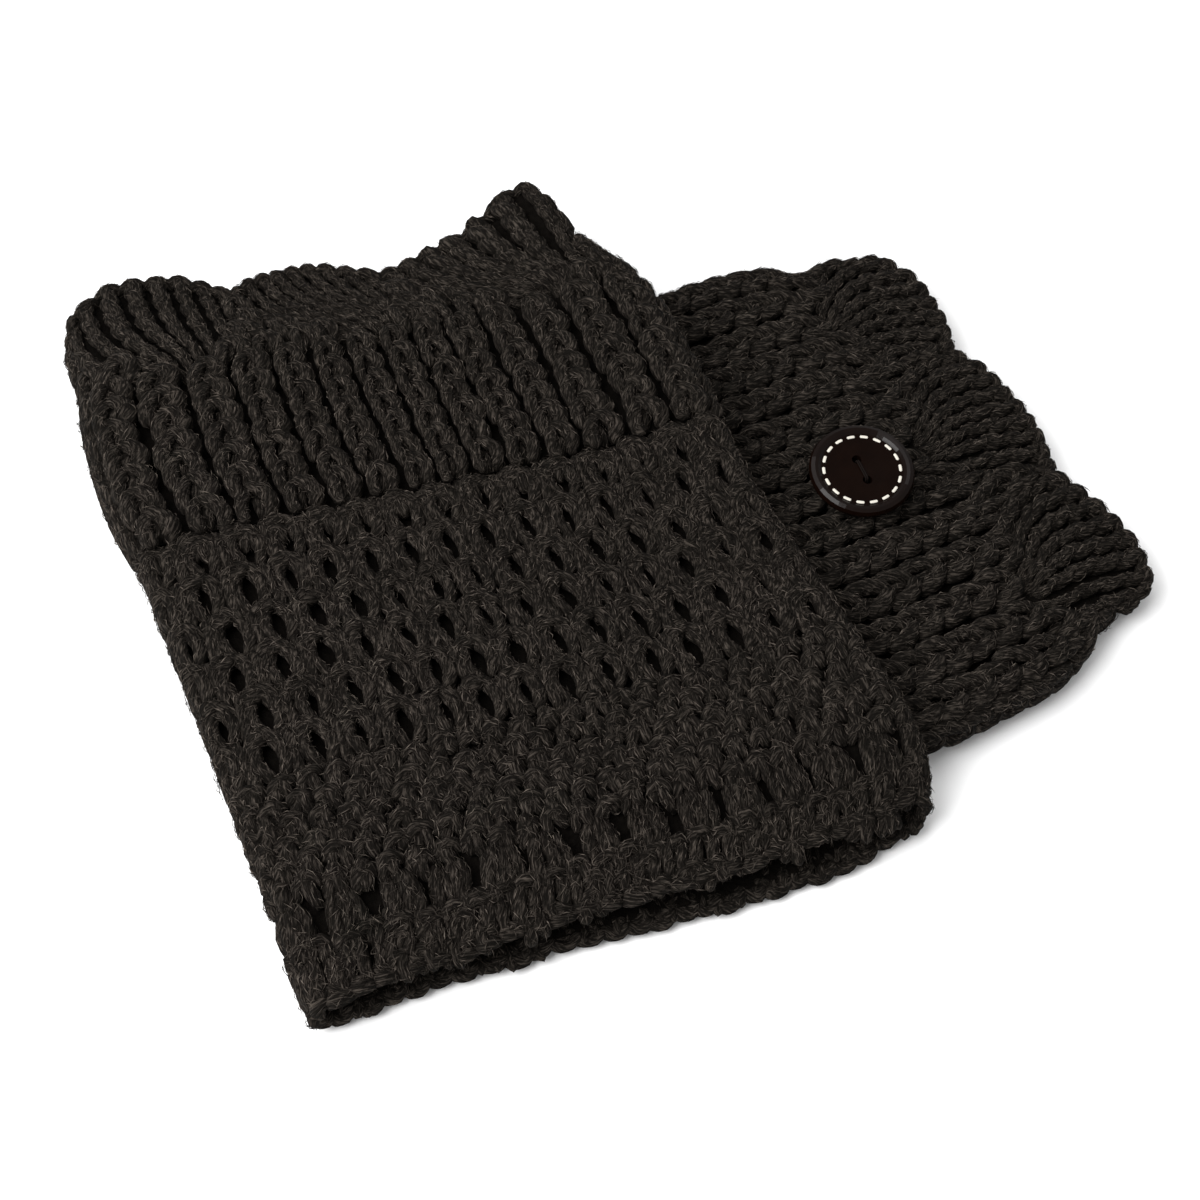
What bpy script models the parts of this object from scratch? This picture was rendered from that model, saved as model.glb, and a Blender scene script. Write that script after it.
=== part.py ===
"""A pair of crochet boot-cuff leg warmers, laid flat with one across the other.

Each leg warmer is a crocheted tube pressed flat, made of two sewn pieces: an open
body from the hem up, and a thick ribbed cuff whose edge ends in six shell fans.
The upper one runs along Y with its fans at +Y. The lower one is turned a quarter
turn, its fans at +X, and carries the button on its cuff.

Metres, +Z up. The floor is Z = 0, and the origin is the middle of the footprint.
A leg's own directions are: across (left to right), along (hem to fans) and up.
"""
import math
from collections import namedtuple

import bmesh
import bpy
import numpy as np
from mathutils import Matrix, Vector

MM = 0.001

# Gap between sewn pieces, and between one piece and what it lies on
GAP = 0.3

# Heights of the flattened tubes, two layers each
BODY_HEIGHT = 9.0
CUFF_HEIGHT = 12.0
HEM_HEIGHT = 11.0
FAN_HEIGHT = 9.0
BODY_WALL = 4.0
CUFF_WALL = 5.5
FAN_WALL = 4.0

# Lengths along a leg, from its hem
SEAM_AT = 106.0
FANS_FROM = 155.0

# Ribs and fans round a cuff
RIBS = 30
FANS = 6
COLUMNS_PER_RIB = 4
STRAND_COLUMNS = 2
RIB_RELIEF = 2.0
STRAND_RELIEF = 1.1
STRAND_BUMP = 1.0
RIM_ROUND = 1.2

# Grid of each wall
BODY_FOLD_STEPS = 4
BODY_FLAT_STEPS = 12
BODY_FOLD_SHARE = 0.055
RIB_ROWS = 6
FAN_ROWS = 5
CUFF_INNER_ROWS = 5

# The button
BUTTON_AT = (140.8, -14.0)
BUTTON_LEAN = 15.4
BUTTON_LEAN_TOWARD = (-0.55, -0.835)
BUTTON_SEGMENTS = 40
BUTTON_HOLE_RADIUS = 1.05
BUTTON_HOLE_SPACING = 5.5
BUTTON_PROFILE = (
    # radius, height
    (0.0, 0.0),
    (8.8, 0.0),
    (10.5, 0.5),
    (11.4, 1.5),
    (11.5, 2.1),
    (11.1, 2.9),
    (10.3, 3.3),
    (9.6, 3.1),
    (8.9, 2.6),
    (0.0, 2.4),
)

YARN_COLOUR = (0.020, 0.016, 0.013, 1.0)
BUTTON_COLOUR = (0.012, 0.005, 0.004, 1.0)

Outline = namedtuple("Outline", "along left right height wall")
Fan = namedtuple("Fan", "valley peak peak_at")
Leg = namedtuple("Leg", "name axis hem_at turned hem body cuff fans crowding lean body_rows")

# One row for each width that was read along the leg: distance from the hem,
# reach to the left and right of the axis, height of the flat tube, wall
UPPER_BODY = (
    Outline(0.0, 59.0, 61.0, HEM_HEIGHT, BODY_WALL),
    Outline(10.0, 60.2, 64.8, 10.0, BODY_WALL),
    Outline(23.0, 61.2, 64.5, BODY_HEIGHT, BODY_WALL),
    Outline(58.0, 61.6, 63.5, BODY_HEIGHT, BODY_WALL),
    Outline(98.0, 63.0, 63.5, BODY_HEIGHT, BODY_WALL),
    Outline(SEAM_AT, 64.0, 64.5, BODY_HEIGHT, BODY_WALL),
)
UPPER_CUFF = (
    Outline(SEAM_AT, 65.5, 65.0, CUFF_HEIGHT, CUFF_WALL),
    Outline(118.0, 67.5, 66.5, CUFF_HEIGHT, CUFF_WALL),
    Outline(133.0, 68.0, 67.5, CUFF_HEIGHT, CUFF_WALL),
    Outline(148.0, 67.0, 68.0, CUFF_HEIGHT, CUFF_WALL),
    Outline(158.0, 64.5, 67.0, 11.5, 5.2),
    Outline(170.0, 63.0, 61.5, 10.0, 4.5),
    Outline(194.0, 61.0, 57.5, FAN_HEIGHT, FAN_WALL),
)
LOWER_BODY = (
    Outline(0.0, 60.0, 62.0, BODY_HEIGHT, BODY_WALL),
    Outline(20.0, 63.0, 63.5, BODY_HEIGHT, BODY_WALL),
    Outline(60.0, 64.0, 65.0, BODY_HEIGHT, BODY_WALL),
    Outline(SEAM_AT, 66.5, 67.5, BODY_HEIGHT, BODY_WALL),
)
LOWER_CUFF = (
    Outline(SEAM_AT, 69.0, 71.5, CUFF_HEIGHT, CUFF_WALL),
    Outline(115.0, 70.5, 73.0, CUFF_HEIGHT, CUFF_WALL),
    Outline(140.0, 75.0, 70.0, CUFF_HEIGHT, CUFF_WALL),
    Outline(151.0, 74.5, 67.5, CUFF_HEIGHT, CUFF_WALL),
    Outline(160.0, 71.5, 64.0, 11.0, 5.0),
    Outline(170.0, 75.0, 57.5, 10.0, 4.5),
    Outline(192.0, 74.0, 54.5, FAN_HEIGHT, FAN_WALL),
)

# Fans in order round the cuff from the left fold: three on the top, three beneath
HIDDEN_FANS = (Fan(175.0, 186.0, 0.5), Fan(177.0, 186.0, 0.5), Fan(177.0, 186.0, 0.5))
UPPER_FANS = (Fan(173.0, 191.5, 0.45), Fan(180.0, 185.5, 0.5), Fan(176.0, 195.0, 0.82)) + HIDDEN_FANS
LOWER_FANS = (Fan(176.0, 190.5, 0.45), Fan(184.5, 190.5, 0.45), Fan(185.0, 191.5, 0.55)) + HIDDEN_FANS

# How far the hem's edge lies in from its leftmost point, evenly from the left fold to the right
UPPER_HEM = (0.0, 1.8, 2.2, 2.4, 5.5)
LOWER_HEM = (0.0, 0.0, 0.0, 0.0, 0.0)

# How the legs lie: each change of height, and the stretch it is spread over
SEAM_RISE_ALONG = (76.0, SEAM_AT)
CLIMB_X = (84.0, 109.0)
DROP_Y = (-74.0, -97.0)
SIDE_SAG = 1.5
SIDE_SAG_X = (3.0, -14.0)
FAN_SAG = 1.6
FAN_SAG_Y = (57.0, 90.0)
FAN_SAG_X = (105.0, 75.0)
CORNER_LIFT = 4.0
CORNER_LIFT_Y = (60.0, 92.0)
CORNER_LIFT_X = (85.0, 110.0)
LEAN_ALONG = (FANS_FROM, FANS_FROM + 35.0)
RIBS_TO_FANS = (FANS_FROM - 4.0, FANS_FROM + 6.0)
RELIEF_ENDS_BENEATH = (-0.12, 0.0)


def ease(value, stretch):
    """Go smoothly from 0 where the stretch starts to 1 where it ends."""
    start, end = stretch
    part = np.clip((value - start) / (end - start), 0.0, 1.0)
    return part * part * (3.0 - 2.0 * part)


def follow(value, stations, readings):
    """Smooth curve through the readings, by cubic pieces with shared slopes."""
    stations = np.asarray(stations, float)
    readings = np.asarray(readings, float)
    slopes = np.gradient(readings, stations)
    value = np.clip(value, stations[0], stations[-1])
    index = np.clip(np.searchsorted(stations, value) - 1, 0, len(stations) - 2)
    span = stations[index + 1] - stations[index]
    part = (value - stations[index]) / span
    start = (1.0 + 2.0 * part) * (1.0 - part) ** 2 * readings[index]
    end = part ** 2 * (3.0 - 2.0 * part) * readings[index + 1]
    lean = span * part * (1.0 - part) * ((1.0 - part) * slopes[index] - part * slopes[index + 1])
    return start + end + lean


def outline_at(table, along):
    """Reach left and right, height and wall of a flat tube at a distance from its hem."""
    stations = [row.along for row in table]
    return [follow(along, stations, [row[field] for row in table]) for field in range(1, 5)]


def support(leg, x, y, along):
    """Height of what the underside of a leg lies on, at a place on the floor."""
    thicker = CUFF_HEIGHT - BODY_HEIGHT
    rise = 0.5 * thicker * ease(along, SEAM_RISE_ALONG) * (along < SEAM_AT)
    if leg.turned:
        return rise
    lying = BODY_HEIGHT + GAP + thicker * ease(x, CLIMB_X) - SIDE_SAG * ease(x, SIDE_SAG_X)
    lying = lying * (1.0 - ease(y, DROP_Y))
    fan_sag = FAN_SAG * ease(y, FAN_SAG_Y) * ease(x, FAN_SAG_X)
    corner_lift = CORNER_LIFT * ease(y, CORNER_LIFT_Y) * ease(x, CORNER_LIFT_X)
    return rise + lying - fan_sag + corner_lift


def tube_points(leg, table, turn, along, depth, ribbed):
    """Points of a flattened tube.

    turn goes from 0 at the left fold over the top to 0.5 at the right fold and back
    beneath to 1. depth is the distance in from the outer face. The section is two
    flats joined by half circles, whose length is shared out by turn.
    """
    left, right, height, _ = outline_at(table, along)
    radius = 0.5 * height
    flat = left + right - 2.0 * radius
    quarter = 0.5 * math.pi * radius
    on_top = turn <= 0.5
    share = np.where(on_top, 2.0 * turn, 2.0 - 2.0 * turn)
    share = share + leg.crowding * np.sin(2.0 * math.pi * share) * on_top * ribbed
    run = share * (flat + 2.0 * quarter)
    side = np.where(on_top, 1.0, -1.0)
    inner = radius - depth
    left_angle = np.clip(run / radius, 0.0, 0.5 * math.pi)
    right_angle = np.clip((run - quarter - flat) / radius, 0.0, 0.5 * math.pi)
    across = -left + radius + np.clip(run - quarter, 0.0, flat)
    across = across - inner * np.cos(left_angle) + inner * np.sin(right_angle)
    up = radius + side * inner * np.sin(left_angle) * np.cos(right_angle)
    across = across - leg.lean * ease(along, LEAN_ALONG) * np.sin(math.pi * share ** 1.5) * on_top
    if leg.turned:
        x, y = leg.hem_at + along, leg.axis - across
    else:
        x, y = leg.axis + across, leg.hem_at + along
    return np.stack([x, y, up + support(leg, x, y, along)], axis=-1)


def fan_edge(leg, turn):
    """Distance of the fans' edge from the hem: each fan is an arch between two valleys."""
    place = (turn % 1.0) * FANS
    index = np.floor(place).astype(int) % FANS
    part = place - np.floor(place)
    valleys = np.array([fan.valley for fan in leg.fans])
    peaks = np.array([fan.peak for fan in leg.fans])[index]
    peak_at = np.array([fan.peak_at for fan in leg.fans])[index]
    start = valleys[index]
    end = valleys[(index + 1) % FANS]
    before = part < peak_at
    offset = np.where(before, (peak_at - part) / peak_at, (part - peak_at) / (1.0 - peak_at))
    foot = np.where(before, start, end)
    return foot + (peaks - foot) * (1.0 - offset ** 2) ** 0.75


def closed_wall(name, rings, material):
    """One closed body from rings of points, joined ring to ring and last to first."""
    points = np.array(rings) * MM
    ring_count, columns, _ = points.shape
    ring = np.arange(ring_count)[:, None]
    column = np.arange(columns)[None, :]
    next_ring = (ring + 1) % ring_count
    next_column = (column + 1) % columns
    corners = (
        ring * columns + column,
        ring * columns + next_column,
        next_ring * columns + next_column,
        next_ring * columns + column,
    )
    faces = np.stack(corners, axis=-1).reshape(-1, 4)
    mesh = bpy.data.meshes.new(name)
    mesh.from_pydata(points.reshape(-1, 3).tolist(), [], faces.tolist())
    mesh.shade_smooth()
    mesh.materials.append(material)
    shape = bmesh.new()
    shape.from_mesh(mesh)
    bmesh.ops.recalc_face_normals(shape, faces=shape.faces)
    shape.to_mesh(mesh)
    shape.free()
    piece = bpy.data.objects.new(name, mesh)
    bpy.context.collection.objects.link(piece)
    return piece


def body_tube(leg, material):
    """The crocheted body, from the hem to the seam under the cuff."""
    fold = np.linspace(0.0, BODY_FOLD_SHARE, BODY_FOLD_STEPS, endpoint=False)
    flat = np.linspace(BODY_FOLD_SHARE, 1.0 - BODY_FOLD_SHARE, BODY_FLAT_STEPS + 1)
    half = np.concatenate([fold, flat, 1.0 - fold[:0:-1]])
    turn = 0.5 * np.concatenate([half, 1.0 + half])
    start = follow(1.0 - np.abs(1.0 - 2.0 * turn), np.linspace(0.0, 1.0, len(leg.hem)), leg.hem)
    end = SEAM_AT - GAP
    rings = []
    for step in np.linspace(0.0, 1.0, leg.body_rows + 1):
        rings.append(tube_points(leg, leg.body, turn, start + (end - start) * step, 0.0, 0.0))
    for step in np.linspace(1.0, 0.0, leg.body_rows // 2 + 1):
        along = start + (end - start) * step
        wall = outline_at(leg.body, along)[3]
        rings.append(tube_points(leg, leg.body, turn, along, wall, 0.0))
    return closed_wall(leg.name + "_crochet_body", rings, material)


def cuff_tube(leg, material):
    """The thick cuff: straight ribs, then fans of raised strands that end in an arched edge."""
    columns = RIBS * COLUMNS_PER_RIB
    column = np.arange(columns)
    turn = column / columns
    rib_wave = 0.5 + 0.5 * np.cos(2.0 * math.pi * column / COLUMNS_PER_RIB)
    strand_wave = 0.5 + 0.5 * np.cos(2.0 * math.pi * column / STRAND_COLUMNS)
    shown = ease(np.sin(2.0 * math.pi * turn), RELIEF_ENDS_BENEATH)
    edge = fan_edge(leg, turn) + STRAND_BUMP * (0.5 - strand_wave)
    rib_rows = [np.full(columns, along) for along in np.linspace(SEAM_AT, FANS_FROM, RIB_ROWS + 1)]
    fan_steps = np.linspace(0.0, 1.0, FAN_ROWS + 1)[1:]
    fan_rows = [FANS_FROM + (edge - RIM_ROUND - FANS_FROM) * step for step in fan_steps]
    rings = []
    for along in rib_rows + fan_rows:
        fan_part = ease(along, RIBS_TO_FANS)
        relief = RIB_RELIEF * rib_wave * (1.0 - fan_part) + STRAND_RELIEF * strand_wave * fan_part
        rings.append(tube_points(leg, leg.cuff, turn, along, relief * shown, 1.0))
    rim_wall = outline_at(leg.cuff, edge)[3]
    rings.append(tube_points(leg, leg.cuff, turn, edge, 0.5 * rim_wall, 1.0))
    for step in np.linspace(1.0, 0.0, CUFF_INNER_ROWS + 1):
        along = SEAM_AT + (edge - RIM_ROUND - SEAM_AT) * step
        wall = outline_at(leg.cuff, along)[3]
        rings.append(tube_points(leg, leg.cuff, turn, along, wall, 1.0))
    return closed_wall(leg.name + "_ribbed_cuff", rings, material)


def button_seat(leaning):
    """Height of the leaning button's middle where its lowest point just clears the cuff."""
    rim = np.linspace(0.0, 2.0 * math.pi, BUTTON_SEGMENTS, endpoint=False)
    lowest = []
    for radius, height in BUTTON_PROFILE[:5]:
        for angle in rim:
            point = leaning @ Vector((radius * math.cos(angle), radius * math.sin(angle), height))
            lowest.append(point.z)
    return CUFF_HEIGHT + GAP - min(lowest)


def button(material):
    """A turned disc with a raised rim and a shallow dish, and two sewing holes cut through."""
    toward = Vector((BUTTON_LEAN_TOWARD[0], BUTTON_LEAN_TOWARD[1], 0.0)).normalized()
    hinge = Vector((0.0, 0.0, 1.0)).cross(toward)
    leaning = Matrix.Rotation(math.radians(BUTTON_LEAN), 3, hinge)
    seat = button_seat(leaning)
    place = Matrix.Translation(Vector((BUTTON_AT[0], BUTTON_AT[1], seat)) * MM) @ leaning.to_4x4()
    shape = bmesh.new()
    profile = [shape.verts.new((radius * MM, 0.0, height * MM)) for radius, height in BUTTON_PROFILE]
    edges = [shape.edges.new(pair) for pair in zip(profile, profile[1:])]
    bmesh.ops.spin(
        shape,
        geom=profile + edges,
        cent=(0.0, 0.0, 0.0),
        axis=(0.0, 0.0, 1.0),
        angle=2.0 * math.pi,
        steps=BUTTON_SEGMENTS,
        use_merge=True,
    )
    bmesh.ops.remove_doubles(shape, verts=shape.verts, dist=0.01 * MM)
    bmesh.ops.recalc_face_normals(shape, faces=shape.faces)
    mesh = bpy.data.meshes.new("button")
    shape.to_mesh(mesh)
    shape.free()
    mesh.shade_smooth()
    mesh.materials.append(material)
    disc = bpy.data.objects.new("button", mesh)
    bpy.context.collection.objects.link(disc)
    disc.matrix_world = place
    for side in (-0.5, 0.5):
        offset = Matrix.Translation((0.0, side * BUTTON_HOLE_SPACING * MM, 1.5 * MM))
        bpy.ops.mesh.primitive_cylinder_add(vertices=12, radius=BUTTON_HOLE_RADIUS * MM, depth=8.0 * MM)
        cutter = bpy.context.object
        cutter.name = "button_hole_cutter"
        cutter.matrix_world = place @ offset
        cutter.display_type = "WIRE"
        cutter.hide_render = True
        cut = disc.modifiers.new("Sewing hole", "BOOLEAN")
        cut.operation = "DIFFERENCE"
        cut.solver = "EXACT"
        cut.object = cutter
    return disc


def plain_material(name, colour, roughness):
    """A plain surface of one colour."""
    material = bpy.data.materials.new(name)
    material.use_nodes = True
    shader = material.node_tree.nodes["Principled BSDF"]
    shader.inputs["Base Color"].default_value = colour
    shader.inputs["Roughness"].default_value = roughness
    shader.inputs["Metallic"].default_value = 0.0
    return material


def centre_footprint(tubes, others):
    """Shift everything so that the origin is the middle of the footprint."""
    points = np.array([vertex.co[:] for tube in tubes for vertex in tube.data.vertices])
    middle = 0.5 * (points.min(axis=0) + points.max(axis=0))
    shift = Matrix.Translation((-middle[0], -middle[1], -points[:, 2].min()))
    for tube in tubes:
        tube.data.transform(shift)
    for piece in others:
        piece.matrix_world = shift @ piece.matrix_world


def main():
    for leftover in list(bpy.data.objects):
        bpy.data.objects.remove(leftover, do_unlink=True)
    upper = Leg("upper", 53.0, -98.5, False, UPPER_HEM, UPPER_BODY, UPPER_CUFF, UPPER_FANS, 0.03, 8.0, 16)
    lower = Leg("lower", -8.0, 5.0, True, LOWER_HEM, LOWER_BODY, LOWER_CUFF, LOWER_FANS, 0.0, 0.0, 8)
    tubes = []
    for leg in (upper, lower):
        tubes.append(body_tube(leg, plain_material(leg.name + "_body_yarn", YARN_COLOUR, 0.9)))
        tubes.append(cuff_tube(leg, plain_material(leg.name + "_cuff_yarn", YARN_COLOUR, 0.9)))
    button(plain_material("dark_button", BUTTON_COLOUR, 0.25))
    others = [piece for piece in bpy.data.objects if piece not in tubes]
    centre_footprint(tubes, others)


main()
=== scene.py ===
"""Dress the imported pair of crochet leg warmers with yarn, stitch by stitch.

Every stitch is a thick yarn carried along a path on the same flattened tubes as
the solids. A place on a tube is given by its column round the tube, its distance
along from the hem and its depth in from the outer face. Sizes are in millimetres.
"""
import math
from collections import namedtuple
from functools import partial

import bpy
import numpy as np
from mathutils import Matrix, Vector


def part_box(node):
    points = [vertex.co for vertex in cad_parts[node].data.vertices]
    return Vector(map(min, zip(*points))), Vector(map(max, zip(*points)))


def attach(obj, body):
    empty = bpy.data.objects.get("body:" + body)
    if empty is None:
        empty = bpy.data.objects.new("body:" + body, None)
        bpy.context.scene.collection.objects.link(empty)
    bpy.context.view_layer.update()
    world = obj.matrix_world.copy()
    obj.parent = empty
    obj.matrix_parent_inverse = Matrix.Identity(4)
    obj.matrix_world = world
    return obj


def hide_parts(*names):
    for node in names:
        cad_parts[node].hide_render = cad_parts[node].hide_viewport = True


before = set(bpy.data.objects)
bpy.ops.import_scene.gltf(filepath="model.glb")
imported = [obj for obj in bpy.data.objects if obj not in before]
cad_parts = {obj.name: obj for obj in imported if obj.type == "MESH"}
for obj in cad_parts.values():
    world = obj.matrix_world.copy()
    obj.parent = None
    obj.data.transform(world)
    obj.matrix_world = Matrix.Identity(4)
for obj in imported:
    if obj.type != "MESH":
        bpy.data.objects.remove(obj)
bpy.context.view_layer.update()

bl_info = {
    "name": "Crochet Leg Warmers",
    "version": (1, 0, 0),
    "blender": (4, 5, 0),
    "location": "View3D > Sidebar > Leg Warmers",
    "description": "Yarn, stitches and button of a pair of crochet leg warmers laid flat",
    "category": "Object",
}

MM = 0.001

# The flattened tubes, as the solids have them
GAP = 0.3
BODY_HEIGHT = 9.0
CUFF_HEIGHT = 12.0
HEM_HEIGHT = 11.0
FAN_HEIGHT = 9.0
SEAM_AT = 106.0
FANS_FROM = 155.0
RIBS = 30
FANS = 6

Outline = namedtuple("Outline", "along left right height")
Fan = namedtuple("Fan", "valley peak peak_at apex apex_at bend bow")
Leg = namedtuple("Leg", "name axis hem_at turned hem body cuff fans crowding lean")
Crease = namedtuple("Crease", "x y heading length width depth")
Loop = namedtuple("Loop", "thick sides steps path")
Yarns = namedtuple("Yarns", "centres normals width depth sides start")

UPPER_BODY = (
    Outline(0.0, 61.6, 61.0, HEM_HEIGHT),
    Outline(10.0, 62.6, 64.8, 10.0),
    Outline(23.0, 63.2, 64.5, BODY_HEIGHT),
    Outline(58.0, 63.8, 63.5, BODY_HEIGHT),
    Outline(98.0, 65.2, 63.5, BODY_HEIGHT),
    Outline(SEAM_AT, 65.6, 64.5, BODY_HEIGHT),
)
UPPER_CUFF = (
    Outline(SEAM_AT, 66.3, 65.0, CUFF_HEIGHT),
    Outline(118.0, 67.8, 66.5, CUFF_HEIGHT),
    Outline(133.0, 68.0, 67.5, CUFF_HEIGHT),
    Outline(148.0, 67.0, 68.0, CUFF_HEIGHT),
    Outline(158.0, 65.5, 67.0, 11.5),
    Outline(170.0, 65.3, 61.5, 10.0),
    Outline(194.0, 62.0, 57.5, FAN_HEIGHT),
)
LOWER_BODY = (
    Outline(0.0, 60.0, 62.0, BODY_HEIGHT),
    Outline(20.0, 63.0, 63.5, BODY_HEIGHT),
    Outline(60.0, 64.0, 65.0, BODY_HEIGHT),
    Outline(SEAM_AT, 66.5, 67.5, BODY_HEIGHT),
)
LOWER_CUFF = (
    Outline(SEAM_AT, 69.0, 71.5, CUFF_HEIGHT),
    Outline(115.0, 70.5, 73.0, CUFF_HEIGHT),
    Outline(140.0, 75.0, 70.0, CUFF_HEIGHT),
    Outline(151.0, 74.5, 67.5, CUFF_HEIGHT),
    Outline(160.0, 71.5, 63.0, 11.0),
    Outline(170.0, 75.0, 56.0, 10.0),
    Outline(192.0, 74.0, 52.5, FAN_HEIGHT),
)

# Fans round each cuff from its left fold: the valley before the fan, its peak, the peak's
# place in the fan, the place and distance from the hem where its strands begin, and the
# two powers that round its edge's rise: 1 and 1 make it straight
HIDDEN_FANS = (
    Fan(178.0, 186.0, 0.5, 0.5, 158.0, 2.0, 0.75),
    Fan(177.0, 186.0, 0.5, 0.5, 158.0, 2.0, 0.75),
    Fan(177.0, 186.0, 0.5, 0.5, 158.0, 2.0, 0.75),
)
UPPER_FANS = (
    Fan(175.5, 192.8, 0.45, 0.58, 156.0, 2.0, 0.75),
    Fan(181.5, 187.2, 0.5, 0.62, 156.0, 2.0, 0.75),
    Fan(179.5, 195.5, 0.82, 0.57, 159.0, 1.0, 1.25),
) + HIDDEN_FANS
LOWER_FANS = (
    Fan(175.0, 189.5, 0.45, 0.62, 160.0, 2.0, 0.75),
    Fan(183.0, 189.5, 0.45, 0.50, 160.0, 2.0, 0.75),
    Fan(183.5, 190.0, 0.55, 0.45, 160.0, 2.0, 0.75),
) + HIDDEN_FANS

# The hem's edge at even steps round the tube, over the top and back beneath
UPPER_HEM = (-0.3, 1.2, 2.0, 2.2, 2.3, 3.4, 4.8, 0.2, -0.7, 0.2, 1.0, 1.2, -0.3)

UPPER = Leg(
    "upper", 53.0, -98.5, False, UPPER_HEM, UPPER_BODY, UPPER_CUFF, UPPER_FANS, 0.03, 8.0
)
LOWER = Leg(
    "lower", -8.0, 5.0, True, (0.0, 0.0, 0.0), LOWER_BODY, LOWER_CUFF, LOWER_FANS, 0.0, 0.0
)

# How the legs lie on the floor and on each other
SEAM_RISE_ALONG = (76.0, SEAM_AT)
CLIMB_X = (84.0, 109.0)
DROP_Y = (-74.0, -97.0)
SIDE_SAG = 1.5
SIDE_SAG_X = (3.0, -14.0)
FAN_SAG = 1.6
FAN_SAG_Y = (57.0, 90.0)
FAN_SAG_X = (105.0, 75.0)
CORNER_LIFT = 4.0
CORNER_LIFT_Y = (60.0, 92.0)
CORNER_LIFT_X = (85.0, 110.0)
LEAN_ALONG = (FANS_FROM, FANS_FROM + 35.0)

# The frame's place of the tubes' own origin
SHIFT = np.array([
    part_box("lower_ribbed_cuff")[0][0] / MM - (LOWER.hem_at + SEAM_AT),
    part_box("upper_crochet_body")[0][1] / MM - UPPER.hem_at,
    0.0,
])

# Soft troughs in the upper faces: middle, heading in degrees, length, width and depth
UPPER_CREASES = (
    Crease(20.0, -88.0, 86.0, 34.0, 3.2, 1.3),
    Crease(95.0, -88.0, 92.0, 34.0, 3.5, 1.2),
    Crease(58.0, -83.5, 0.0, 78.0, 2.2, 0.8),
    Crease(-2.0, -30.0, 80.0, 60.0, 5.0, 0.7),
    Crease(104.0, -20.0, 96.0, 70.0, 6.0, 0.9),
    Crease(70.0, 8.0, 2.0, 66.0, 3.0, 0.5),
)
LOWER_CREASES = (
    Crease(140.0, 40.0, 8.0, 44.0, 4.0, 0.9),
    Crease(138.0, -48.0, -6.0, 40.0, 3.5, 0.8),
    Crease(60.0, 10.0, 90.0, 60.0, 5.0, 0.5),
)

# The button, leaning on the lower cuff, as the solids have it
BUTTON_AT = (140.8, -14.0)
BUTTON_LEAN = 15.4
BUTTON_LEAN_TOWARD = (-0.55, -0.835)
BUTTON_FOOT = 8.8
BUTTON_FACE = 2.6
BUTTON_RIM = (9.1, 9.6)
BUTTON_HOLE_SPACING = 5.5

# What lies on its face: dashes, blunt at both ends, and two runs of thread that dip into
# its holes
DASH_TURN = 0.1
DASH_STEPS = 9
DASH_THICK = 0.30
DASH_SWELL = 0.06
THREAD_STEPS = 13
THREAD_ASIDE = (-0.22, 0.20)
THREAD_THICK = 0.20
THREAD_DIP = 2.4

# The camera that was fitted to the photo: its place in the tubes' own millimetres, and
# the directions of its right side, its down side and its view
CAMERA_AT = np.array([-51.26, -261.10, 289.36])
CAMERA_RIGHT = (0.9186199, -0.3845142, 0.0910287)
CAMERA_DOWN = (-0.2232846, -0.6951904, -0.6832674)
CAMERA_VIEW = (0.3260083, 0.6073378, -0.7244718)

# Each yarn is taken from some place on this length, and is simpler where no one sees it:
# between two turns round the tube, beneath its own leg
YARN_LENGTH = 900.0
BENEATH = (0.56, 0.94)

# Openwork: eyelets in rows across the body
MESH_ROWS = 6
MESH_TOP = 99.2
MESH_PITCH = 10.2
MESH_COLUMNS = 30
MESH_START = 0.24
MESH_STAGGER = -0.26
MESH_CREEP = 0.46


def ease(value, stretch):
    """Go smoothly from 0 where the stretch starts to 1 where it ends."""
    start, end = stretch
    part = np.clip((value - start) / (end - start), 0.0, 1.0)
    return part * part * (3.0 - 2.0 * part)


def follow(value, stations, readings):
    """Smooth curve through the readings, by cubic pieces with shared slopes."""
    stations = np.asarray(stations, float)
    readings = np.asarray(readings, float)
    slopes = np.gradient(readings, stations)
    value = np.clip(value, stations[0], stations[-1])
    index = np.clip(np.searchsorted(stations, value) - 1, 0, len(stations) - 2)
    span = stations[index + 1] - stations[index]
    part = (value - stations[index]) / span
    start = (1.0 + 2.0 * part) * (1.0 - part) ** 2 * readings[index]
    end = part ** 2 * (3.0 - 2.0 * part) * readings[index + 1]
    lean = span * part * (1.0 - part) * ((1.0 - part) * slopes[index] - part * slopes[index + 1])
    return start + end + lean


def outline_at(table, along):
    """Reach left and right and height of a flat tube at a distance from its hem."""
    stations = [row.along for row in table]
    return [follow(along, stations, [row[field] for row in table]) for field in range(1, 4)]


def support(leg, x, y, along):
    """Height of what the underside of a leg lies on, at a place on the floor."""
    thicker = CUFF_HEIGHT - BODY_HEIGHT
    rise = 0.5 * thicker * ease(along, SEAM_RISE_ALONG) * (along < SEAM_AT)
    if leg.turned:
        return rise
    lying = BODY_HEIGHT + GAP + thicker * ease(x, CLIMB_X) - SIDE_SAG * ease(x, SIDE_SAG_X)
    lying = lying * (1.0 - ease(y, DROP_Y))
    fan_sag = FAN_SAG * ease(y, FAN_SAG_Y) * ease(x, FAN_SAG_X)
    corner_lift = CORNER_LIFT * ease(y, CORNER_LIFT_Y) * ease(x, CORNER_LIFT_X)
    return rise + lying - fan_sag + corner_lift


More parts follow.
